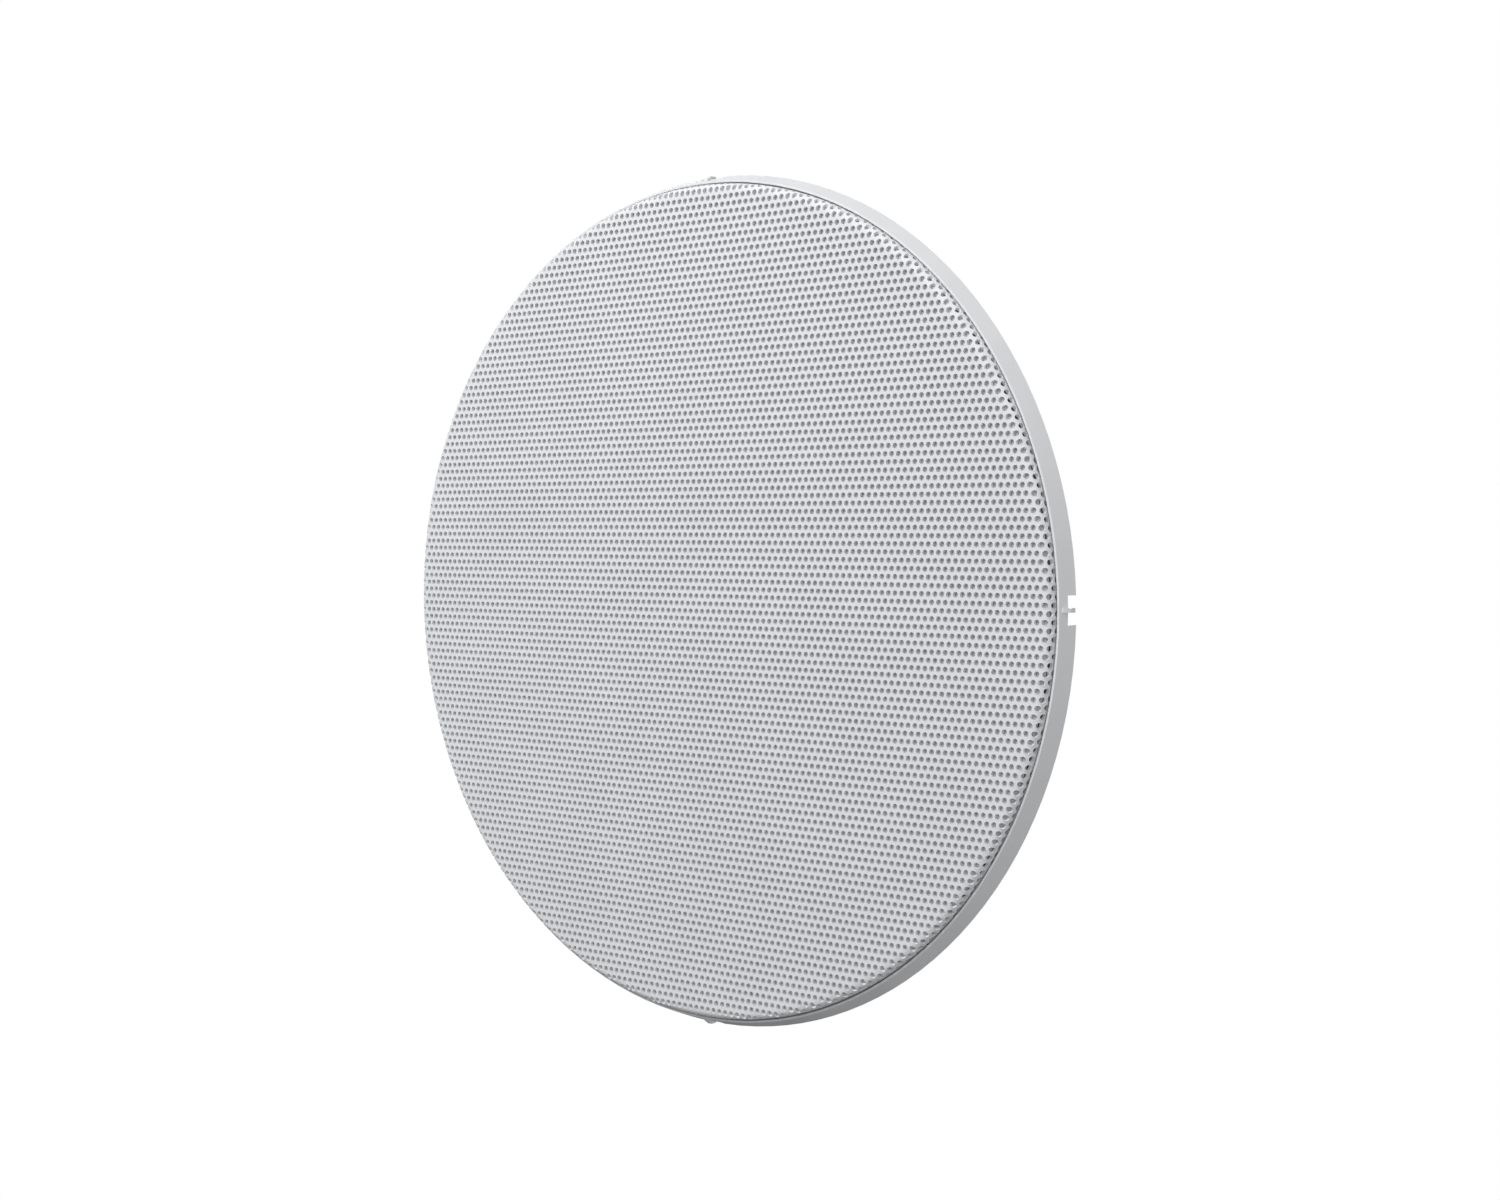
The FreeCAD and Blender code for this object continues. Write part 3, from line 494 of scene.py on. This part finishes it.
CELL_CORNERS = [(1, 0), (1, 1), (0, 1), (-1, 1), (-1, 0), (-1, -1), (0, -1), (1, -1)]
# one quarter of a cell, from its corners c0 to c2 and its hole's points h0 to h3
QUARTER = [("c0", "c1", "h1", "h0"), ("c1", "h2", "h1"), ("c1", "c2", "h3", "h2")]


def hole_points(centres):
    """The corners of each hole's outline: an array of hole, side and (x, z)."""
    angles = np.arange(HOLE_SIDES) * 2 * math.pi / HOLE_SIDES
    circle = np.column_stack([np.cos(angles), np.sin(angles)]) * HOLE_R
    return centres[:, None, :] + circle[None]


def lattice():
    """Grid places, in steps, of the holes whose whole cell is in the blank, and of the others."""
    edge = blank_radius()
    rows = range(-ROWS, ROWS + 1)
    grid = np.array([(2 * column + row % 2, 2 * row) for row in rows for column in rows])
    centres = FIRST_HOLE + grid * STEP
    fits = np.linalg.norm(centres, axis=1) + HOLE_R < edge - EDGE_MARGIN
    corners = centres[:, None, :] + np.array(CELL_CORNERS)[None] * STEP
    whole = (np.linalg.norm(corners, axis=2) < edge - EDGE_MARGIN).all(axis=1)
    return grid[whole], grid[fits & ~whole]


def skin_of_cells(grid):
    """Points and faces of the whole cells, and the point numbers round each of their holes."""
    corners = grid[:, None, :] + np.array(CELL_CORNERS)[None]
    unique, numbers = np.unique(corners.reshape(-1, 2), axis=0, return_inverse=True)
    numbers = numbers.reshape(-1, 8)
    points = [FIRST_HOLE + unique * STEP, hole_points(FIRST_HOLE + grid * STEP).reshape(-1, 2)]
    holes = len(unique) + np.arange(len(grid) * HOLE_SIDES).reshape(-1, HOLE_SIDES)
    faces = []
    for quarter in range(4):
        pick = {f"c{k}": numbers[:, (2 * quarter + k) % 8] for k in range(3)}
        pick.update({f"h{k}": holes[:, (3 * quarter + k) % HOLE_SIDES] for k in range(4)})
        for face in QUARTER:
            faces += np.column_stack([pick[key] for key in face]).tolist()
    return np.concatenate(points), faces, holes.tolist()


def skin_of_border(whole, partial):
    """The same between the whole cells and the blank's edge, with the holes that fit there."""
    inside = {tuple(cell) for cell in whole.tolist()}
    edges = {}
    for cell in whole:
        ring = [tuple((cell + corner).tolist()) for corner in CELL_CORNERS]
        for start, end in zip(ring, ring[1:] + ring[:1]):
            key = frozenset((start, end))
            edges[key] = None if key in edges else (start, end)
    stairs = [edge for edge in edges.values() if edge]
    number = {}
    for edge in stairs:
        for corner in edge:
            number.setdefault(corner, len(number))
    points = [FIRST_HOLE + np.array(corner) * STEP for corner in number]
    lines = [(number[start], number[end]) for start, end in stairs]
    rim_start = len(points)
    for side in range(RIM_SIDES):
        angle = 2 * math.pi * side / RIM_SIDES
        points.append(np.array([math.cos(angle), math.sin(angle)]) * blank_radius())
        lines.append((rim_start + side, rim_start + (side + 1) % RIM_SIDES))
    centres = FIRST_HOLE + partial * STEP
    holes = []
    for outline in hole_points(centres):
        first = len(points)
        points += list(outline)
        holes.append(list(range(first, first + HOLE_SIDES)))
        lines += [(first + side, first + (side + 1) % HOLE_SIDES) for side in range(HOLE_SIDES)]
    in_mm = [Vector(point / MM) for point in points]
    made, _, faces, sources, _, _ = delaunay_2d_cdt(in_mm, lines, [], 1, 1e-6)
    middles = np.array([np.mean([made[i] for i in face], axis=0) for face in faces]) * MM
    kept = []
    for face, middle in zip(faces, middles):
        row = round((middle[1] - FIRST_HOLE[1]) / (2 * STEP))
        column = round(((middle[0] - FIRST_HOLE[0]) / STEP - row % 2) / 2)
        in_cell = (2 * column + row % 2, 2 * row) in inside
        in_hole = np.linalg.norm(centres - middle, axis=1).min() < HOLE_R * 0.95
        if not in_cell and not in_hole and np.linalg.norm(middle) < blank_radius():
            kept.append([sources[i][0] for i in face])
    return np.array(points), kept, holes


def perforated_quarter(name, points, faces):
    """One quarter of the sheet: both skins, and walls along every open edge of the skins."""
    used = sorted({i for face in faces for i in face})
    renumber = {old: new for new, old in enumerate(used)}
    count = len(used)
    flat = points[used]
    vertices = np.concatenate([on_sheet(flat, 1), on_sheet(flat, -1)])
    fronts = [[renumber[i] for i in face] for face in faces]
    backs = [[i + count for i in reversed(face)] for face in fronts]
    sides = {side for face in fronts for side in zip(face, face[1:] + face[:1])}
    open_sides = [(start, end) for start, end in sorted(sides) if (end, start) not in sides]
    walls = [[end, start, start + count, end + count] for start, end in open_sides]
    return new_piece(name, vertices, fronts + backs + walls, "cover", "grille_paint", 55)


def face_quarter(middle):
    """Which quarter of the sheet a blank point is in: (right half, upper half)."""
    return bool(middle[0] > FIRST_HOLE[0]), bool(middle[1] > FIRST_HOLE[1])


def grille():
    """The perforated sheet, as four pieces that meet along straight lines between the holes."""
    whole, partial = lattice()
    cell_points, cell_faces, cell_holes = skin_of_cells(whole)
    edge_points, edge_faces, edge_holes = skin_of_border(whole, partial)
    shift = len(cell_points)
    points = np.concatenate([cell_points, edge_points])
    faces = cell_faces + [[i + shift for i in face] for face in edge_faces]
    holes = cell_holes + [[i + shift for i in outline] for outline in edge_holes]
    grain = MM * 1e-4
    rounded = np.round(points / grain).astype(np.int64)
    merged, numbers = np.unique(rounded, axis=0, return_inverse=True)
    numbers = numbers.reshape(-1)
    points = merged * grain
    faces = [[int(numbers[i]) for i in face] for face in faces]
    quarter_of = {}
    for outline in holes:
        outline = [int(numbers[i]) for i in outline]
        quarter_of.update(dict.fromkeys(outline, face_quarter(points[outline].mean(axis=0))))
    quarters = {}
    for face in faces:
        touching = [quarter_of[i] for i in face if i in quarter_of]
        quarter = touching[0] if touching else face_quarter(points[face].mean(axis=0))
        quarters.setdefault(quarter, []).append(face)
    for (right, upper), own_faces in quarters.items():
        name = "perforated_sheet_" + ("upper" if upper else "lower")
        name += "_right" if right else "_left"
        piece = perforated_quarter(name, points, own_faces)
        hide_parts("grille_sheet")


# ---------------------------------------------------------------- scrim and foam

def scrim():
    """The thin cloth behind the sheet, its edge rolled back inside the bend."""
    thickness = 0.25 * MM
    bend = INNER_BEND
    flat_r = GRILLE_R - BEND
    last = math.asin(min(1.0, (SCRIM_HIGH.x - flat_r) / bend))
    rings = [(flat_r * share, 0.0) for share in (0.25, 0.5, 0.75)]
    rings += [(flat_r, last * step / 5) for step in range(6)]
    spokes = 240
    vertices = []
    for inset in (0.0, thickness):
        vertices.append((0, SCRIM_LOW.y + inset, 0))
        for start, turn in rings:
            reach = start + (bend - inset) * math.sin(turn)
            y = SCRIM_LOW.y + bend - (bend - inset) * math.cos(turn)
            for spoke in range(spokes):
                angle = 2 * math.pi * spoke / spokes
                vertices.append((reach * math.cos(angle), y, reach * math.sin(angle)))
    half = 1 + len(rings) * spokes
    faces = []
    for spoke in range(spokes):
        follows = (spoke + 1) % spokes
        faces.append((0, 1 + spoke, 1 + follows))
        faces.append((half, half + 1 + follows, half + 1 + spoke))
        for ring in range(len(rings) - 1):
            a, b = 1 + ring * spokes + spoke, 1 + ring * spokes + follows
            faces.append((a, a + spokes, b + spokes, b))
            faces.append((half + a, half + b, half + b + spokes, half + a + spokes))
        a, b = half - spokes + spoke, half - spokes + follows
        faces.append((a, half + a, half + b, b))
    piece = new_piece("scrim", vertices, faces, "cover", "scrim_cloth")
    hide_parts("acoustic_scrim")


def wall_gasket():
    """The foam ring that seals the plate to the wall, its cut edges a little rounded."""
    low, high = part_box("wall_gasket")
    inner, hole_r, hole_at = 80 * MM, 2.25 * MM, 90 * MM
    soft = 0.25 * MM
    # each round edge: its centre, its radius, 1 outside or -1 inside, and its steps
    outlines = [((0.0, 0.0), high.x, 1, 240), ((0.0, 0.0), inner, -1, 240)]
    for corner in (45, 135, 225, 315):
        angle = math.radians(corner)
        centre = (hole_at * math.cos(angle), hole_at * math.sin(angle))
        outlines.append((centre, hole_r, -1, 24))
    points, lines, vertices, faces = [], [], [], []
    half, middle = (high.y - low.y) / 2, (high.y + low.y) / 2
    rows = [math.radians(angle) for angle in (-90, -45, 0, 45, 90)]
    for centre, radius, side, steps in outlines:
        first = len(points)
        for step in range(steps):
            angle = 2 * math.pi * step / steps
            flat_edge = radius - side * soft
            points.append(Vector((centre[0] + flat_edge * math.cos(angle),
                                  centre[1] + flat_edge * math.sin(angle))))
            lines.append((first + step, first + (step + 1) % steps))
            for row in rows:
                reach = radius - side * soft * (1 - math.cos(row))
                vertices.append((centre[0] + reach * math.cos(angle),
                                 middle + half * math.sin(row),
                                 centre[1] + reach * math.sin(angle)))
        for step in range(steps):
            here = (first + step) * len(rows)
            there = (first + (step + 1) % steps) * len(rows)
            for row in range(len(rows) - 1):
                wall = (here + row, here + row + 1, there + row + 1, there + row)
                faces.append(wall if side > 0 else wall[::-1])
    in_mm = [point / MM for point in points]
    made, _, cells, sources, _, _ = delaunay_2d_cdt(in_mm, lines, [], 1, 1e-6)
    for cell in cells:
        centre = sum((made[i] for i in cell), Vector((0, 0))) / len(cell) * MM
        if not any(side < 0 and math.dist(centre, at) < radius + soft
                   for at, radius, side, _ in outlines):
            front = [sources[i][0] * len(rows) for i in cell]
            faces.append(front)
            faces.append([i + len(rows) - 1 for i in reversed(front)])
    piece = new_piece("foam_gasket", vertices, faces, "base", "foam_rubber")
    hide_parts("wall_gasket")


def edge_foam():
    """The soft strip inside the grille's bend: only its front part goes across the clips."""
    low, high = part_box("grille_edge_foam")
    bend = INNER_BEND
    front, inner, outer = GRILLE_FRONT + SHEET, 105.4 * MM, high.x
    belly, chamfer = 0.15 * MM, 0.1 * MM
    corner = (outer - bend, front + bend)
    turn = math.degrees(math.asin(min(1.0, (corner[1] - low.y) / bend)))
    curve = arc(corner, bend, -turn, 0, 5)
    clip_front = GRILLE_FRONT + BEND
    vertices, faces = [], []
    between = (high.y, CLIP_HALF, CLIP_EVERY - CLIP_HALF)
    across = (clip_front, -CLIP_HALF, CLIP_HALF)
    for back, start, end in (between, across):
        outline = curve + [(outer, back - chamfer), (outer - chamfer, back)]
        outline += [(inner + belly, back), (inner, (back + low.y) / 2), (inner + belly, low.y)]
        for clip in range(CLIPS):
            at = CLIP_EVERY / 2 + CLIP_EVERY * clip
            shape, sides = turned(outline, math.radians(at + start), math.radians(at + end), 20)
            faces += [[i + len(vertices) for i in face] for face in sides]
            vertices += shape
    piece = new_piece("edge_foam_strip", vertices, faces, "cover", "edge_foam")
    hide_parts("grille_edge_foam")


# ---------------------------------------------------------------- clamp screws

def cut(shape, y, keep):
    """Cut a shape off square at y, keep what is in front (-1) or behind (1), and close its end."""
    everything = shape.verts[:] + shape.edges[:] + shape.faces[:]
    bmesh.ops.bisect_plane(shape, geom=everything, plane_co=(0, y, 0), plane_no=(0, -keep, 0),
                           clear_outer=True)
    end = [edge for edge in shape.edges
           if edge.is_boundary and all(abs(vertex.co.y - y) < 1e-6 for vertex in edge.verts)]
    bmesh.ops.holes_fill(shape, edges=end, sides=0)
    bmesh.ops.recalc_face_normals(shape, faces=shape.faces[:])


def lists(shape):
    """A bmesh's vertices and faces; the bmesh is given up."""
    shape.verts.index_update()
    vertices = [vertex.co[:] for vertex in shape.verts]
    faces = [[vertex.index for vertex in face.verts] for face in shape.faces]
    shape.free()
    return vertices, faces


def thread(low, high, centre, columns=24):
    """A bar along Y with a right-handed thread, cut off square at both ends."""
    flank = (ROOT_R + CREST_R) / 2
    profile = [ROOT_R, ROOT_R, flank, CREST_R, CREST_R, flank]
    rows = len(profile)
    count = (math.ceil((high - low) / THREAD_PITCH) + 4) * rows
    bar = bmesh.new()
    for column in range(columns):
        angle = 2 * math.pi * column / columns
        for row in range(count):
            reach = profile[row % rows]
            bar.verts.new((centre[0] + reach * math.cos(angle),
                           low + (row / rows + column / columns - 2) * THREAD_PITCH,
                           centre[1] + reach * math.sin(angle)))
    bar.verts.ensure_lookup_table()
    for column in range(columns):
        last = column == columns - 1
        for row in range(count - rows - 1 if last else count - 1):
            here = column * count + row
            there = row + rows if last else here + count
            corners = (here, here + 1, there + 1, there)
            bar.faces.new([bar.verts[i] for i in corners])
    cut(bar, low, 1)
    cut(bar, high, -1)
    return bar


def clamp_screw(number):
    """The cross-head machine screw that works one clamp: the CAD's head on a threaded shank."""
    name = f"clamp_screw_{number}"
    low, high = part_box(name)
    centre = ((low.x + high.x) / 2, (low.z + high.z) / 2)
    head_back = low.y + HEAD_HEIGHT
    head = bmesh.new()
    head.from_mesh(frame["nodes"][name].data)
    bmesh.ops.remove_doubles(head, verts=head.verts[:], dist=1e-6)
    cut(head, head_back, -1)
    vertices, faces = lists(head)
    shank, turns = lists(thread(head_back, high.y, centre))
    faces += [[i + len(vertices) for i in face] for face in turns]
    piece = new_piece(f"threaded_screw_{number}", vertices + shank, faces,
                      f"clamp_screw_body_{number}", "screw_steel", 40)
    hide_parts(name)


# ---------------------------------------------------------------- parts that flex

def flexing_ring(name, node, outline, slot):
    """A turned ring between the basket and the diaphragm, in sectors."""
    for sector in range(SECTORS):
        start = 2 * math.pi * sector / SECTORS
        end = 2 * math.pi * (sector + 1) / SECTORS
        vertices, faces = turned(outline[::-1], start, end, 10)
        piece = new_piece(f"{name}_{sector + 1}", vertices, faces, None, slot)
        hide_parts(node)
        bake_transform(piece)


def surround():
    """The rubber half roll between the cone and the basket, on two flat lips."""
    low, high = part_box("surround")
    inner, roll_at, outer = 30.5 * MM, 35 * MM, high.x
    roll, fillet = 2.7 * MM, 0.5 * MM
    centre = (roll_at, low.y + roll)
    front, back = high.y - CLOTH, high.y
    outline = [(outer, front), (roll_at + roll + fillet, front)]
    outline += arc(centre, roll, -12, -168, 18)
    outline += [(roll_at - roll - fillet, front), (inner, front), (inner, back)]
    outline += arc(centre, roll - CLOTH, -185, 5, 18)
    outline.append((outer, back))
    flexing_ring("surround_sector", "surround", outline, "surround_rubber")


def spider():
    """The doped cloth that centres the coil, pressed into round corrugations."""
    low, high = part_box("spider")
    inner, flat_r, outer = 12.65 * MM, 24.0 * MM, high.x
    waves, steps = 8, 6
    depth = (high.y - low.y - CLOTH) / 2
    front = []
    for step in range(waves * steps + 1):
        y = high.y - CLOTH - depth * (1 - math.cos(math.pi * step / steps))
        front.append((inner + (flat_r - inner) * step / (waves * steps), y))
    front.append((outer, high.y - CLOTH))
    outline = front[::-1] + [(radius, y + CLOTH) for radius, y in front]
    flexing_ring("spider_sector", "spider", outline, "spider_cloth")


def tamper_spring():
    """The coil spring behind the cover's tamper plunger, which shortens as it is pressed."""
    low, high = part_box("tamper_spring")
    wire, turns = 0.24 * MM, 6.5
    centre = (0.0, (low.z + high.z) / 2)
    vertices, faces = coil(centre, high.x - wire, wire, low.y, high.y, turns)
    piece = new_piece("coil_spring", vertices, faces, "base", "spring_steel")
    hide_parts("tamper_spring")
    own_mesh(piece)


# ---------------------------------------------------------------- light, floor and camera

def lamp(name, kind, energy, at, **settings):
    """A lamp at that place, shining at the middle of the siren's face."""
    data = bpy.data.lights.new(name, kind)
    data.energy = energy
    for setting, value in settings.items():
        setattr(data, setting, value)
    item = bpy.data.objects.new(name, data)
    bpy.context.scene.collection.objects.link(item)
    item.location = at
    item.rotation_euler = (-Vector(at)).to_track_quat("-Z", "Y").to_euler()


def studio():
    """A white room that is brighter to one side, a small key above the front, a sun behind."""
    world = bpy.data.worlds.new("studio")
    bpy.context.scene.world = world
    world.use_nodes = True
    nodes, links = world.node_tree.nodes, world.node_tree.links
    seen = nodes["Background"]
    seen.inputs["Strength"].default_value = 1.0
    seen.inputs["Color"].default_value = (1, 1, 1, 1)
    lighting = nodes.new("ShaderNodeBackground")
    lighting.inputs["Color"].default_value = (0.985, 0.99, 1, 1)
    towards = nodes.new("ShaderNodeTexCoord")
    side = nodes.new("ShaderNodeVectorMath")
    side.operation = "DOT_PRODUCT"
    side.inputs[1].default_value = BRIGHT_SIDE
    shade = nodes.new("ShaderNodeMapRange")
    set_range(shade, -0.9, 1, 0, BRIGHT)
    links.new(towards.outputs["Generated"], side.inputs[0])
    links.new(side.outputs["Value"], shade.inputs["Value"])
    links.new(shade.outputs["Result"], lighting.inputs["Strength"])
    rays = nodes.new("ShaderNodeLightPath")
    either = nodes.new("ShaderNodeMixShader")
    links.new(rays.outputs["Is Camera Ray"], either.inputs[0])
    links.new(lighting.outputs["Background"], either.inputs[1])
    links.new(seen.outputs["Background"], either.inputs[2])
    links.new(either.outputs["Shader"], nodes["World Output"].inputs["Surface"])
    lamp("key", "AREA", KEY, KEY_AT, shape="DISK", size=0.3)
    lamp("fill", "SUN", FILL, FILL_FROM, angle=math.radians(40))
    bpy.context.scene.view_settings.view_transform = "Standard"


def floor():
    """A plain white floor below the siren, which only the camera sees."""
    mesh = bpy.data.meshes.new("floor")
    reach = 30
    corners = [(-reach, -reach, 0), (reach, -reach, 0), (reach, reach, 0), (-reach, reach, 0)]
    mesh.from_pydata(corners, [], [(0, 1, 2, 3)])
    plane = bpy.data.objects.new("floor", mesh)
    bpy.context.scene.collection.objects.link(plane)
    plane.location.z = FLOOR_AT
    plane.visible_diffuse = False
    plane.visible_glossy = False
    plane.visible_shadow = False
    white = bpy.data.materials.new("floor")
    white.use_nodes = True
    shader = white.node_tree.nodes["Principled BSDF"]
    shader.inputs["Base Color"].default_value = (0, 0, 0, 1)
    shader.inputs["Specular IOR Level"].default_value = 0
    shader.inputs["Emission Color"].default_value = (1, 1, 1, 1)
    shader.inputs["Emission Strength"].default_value = 1.0
    mesh.materials.append(white)


def camera():
    """A mild telephoto view from the right, level with the siren."""
    data = bpy.data.cameras.new("camera")
    data.lens = 53.97
    data.sensor_width = 36.0
    data.shift_y = -0.05
    view = bpy.data.objects.new("camera", data)
    bpy.context.scene.collection.objects.link(view)
    view.location = (0.3938, GRILLE_FRONT - 0.4394, 0.0198)
    view.rotation_euler = (math.radians(90), 0, math.radians(40.535))
    bpy.context.scene.camera = view


# ---------------------------------------------------------------- the whole siren

camera()
for part in frame["record"]["subparts"]:
    shown = frame["nodes"][part["node"]].data.materials
    shown.clear()
    shown.append(FINISHES[part["material_slot"]])
grille()
scrim()
edge_foam()
wall_gasket()
surround()
spider()
tamper_spring()
for screw in (1, 2, 3):
    clamp_screw(screw)
studio()
floor()
